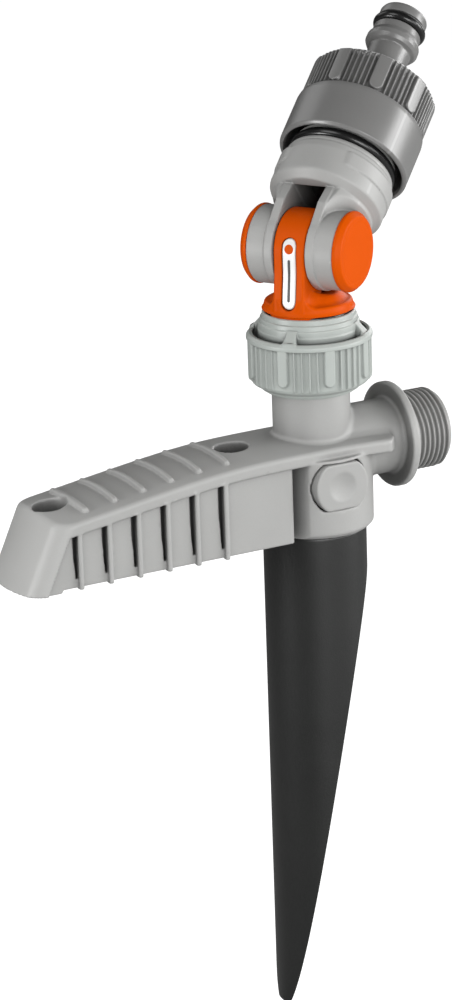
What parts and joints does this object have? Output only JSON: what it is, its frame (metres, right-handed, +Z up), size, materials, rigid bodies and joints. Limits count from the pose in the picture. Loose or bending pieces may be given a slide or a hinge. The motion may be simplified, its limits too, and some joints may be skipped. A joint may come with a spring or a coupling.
{
  "type": "sprinkler stand",
  "caption": "Garden sprinkler stand: hollow ground spike, foot step, tee with threaded side inlet, union nut, swivel base and tilting head with a push-on hose nipple.",
  "frame": {"origin": "on the axis of the spike and the upright pipe, at the height where the foot step rests on the ground", "axes": "+Z up along the upright pipe, +X towards the threaded side inlet, so the foot step points along -X"},
  "size_m": [0.1779, 0.0679, 0.3268],
  "materials": {
    "grey_plastic": "moulded grey plastic, fine matte grain",
    "light_grey_plastic": "moulded light greenish-grey plastic, matte",
    "dark_grey_plastic": "moulded darker grey plastic, satin to semi-gloss",
    "orange_plastic": "moulded bright orange plastic, semi-gloss",
    "black_plastic": "moulded charcoal plastic, satin",
    "white_plastic": "white plastic, smooth",
    "acetal": "natural acetal, smooth",
    "rubber": "black rubber, slightly glossy",
    "steel": "stainless spring steel"
  },
  "bodies": {
    "stand": {"foot_step": "grey_plastic", "ground_spike": "black_plastic", "lock_spring_front": "steel", "lock_spring_rear": "steel"},
    "button_front": {"lock_button_front": "grey_plastic"},
    "button_rear": {"lock_button_rear": "grey_plastic"},
    "union_carriage": {"union_washer": "rubber"},
    "union_nut": {"union_nut": "light_grey_plastic"},
    "swivel": {"swivel_base": "orange_plastic", "badge_insert": "white_plastic", "swivel_dust_seal": "rubber"},
    "head": {"clevis": "grey_plastic", "pivot_pin": "acetal", "pivot_o_ring_front": "rubber", "pivot_o_ring_rear": "rubber", "pivot_cap_front": "orange_plastic", "pivot_cap_rear": "orange_plastic", "pivot_retaining_clip": "steel", "neck_o_ring": "rubber"},
    "tap_carriage": {"tap_washer": "rubber"},
    "tap_nut": {"tap_nut": "dark_grey_plastic"},
    "nipple": {"hose_nipple": "dark_grey_plastic", "nipple_o_ring": "rubber"}
  },
  "joints": [
    {"name": "button_front_push", "type": "slide", "parent": "stand", "child": "button_front", "axis": [0, 1, 0], "range_m": [0, 0.0035], "stiffness_N_per_m": 400, "deforming": ["lock_spring_front"]},
    {"name": "button_rear_push", "type": "slide", "parent": "stand", "child": "button_rear", "axis": [0, -1, 0], "range_m": [0, 0.0035], "stiffness_N_per_m": 400, "deforming": ["lock_spring_rear"]},
    {"name": "union_lift", "type": "slide", "parent": "stand", "child": "union_carriage", "axis": [0, 0, 1], "range_m": [0, 0.011]},
    {"name": "union_turn", "type": "hinge", "parent": "union_carriage", "child": "union_nut", "pos_m": [0, 0, 0.06], "axis": [0, 0, 1], "range_deg": [0, 2160]},
    {"name": "base_swivel", "type": "hinge", "parent": "union_carriage", "child": "swivel", "pos_m": [0, 0, 0.0743], "axis": [0, 0, 1], "continuous": true},
    {"name": "head_tilt", "type": "hinge", "parent": "swivel", "child": "head", "pos_m": [0, 0, 0.0925], "axis": [-0.5446, 0.8387, 0], "range_deg": [-125, 25]},
    {"name": "tap_lift", "type": "slide", "parent": "head", "child": "tap_carriage", "axis": [0.6425, 0.4172, 0.6428], "range_m": [0, 0.011]},
    {"name": "tap_nut_turn", "type": "hinge", "parent": "tap_carriage", "child": "tap_nut", "pos_m": [0.03212, 0.02086, 0.12464], "axis": [0.6425, 0.4172, 0.6428], "range_deg": [0, 2160]},
    {"name": "nipple_swivel", "type": "hinge", "parent": "tap_carriage", "child": "nipple", "pos_m": [0.03212, 0.02086, 0.12464], "axis": [0.6425, 0.4172, 0.6428], "continuous": true}
  ],
  "couplings": [
    {"joint": "union_lift", "follows": "union_turn", "m_per_rad": 0.00028871},
    {"joint": "tap_lift", "follows": "tap_nut_turn", "m_per_rad": 0.00028871}
  ]
}
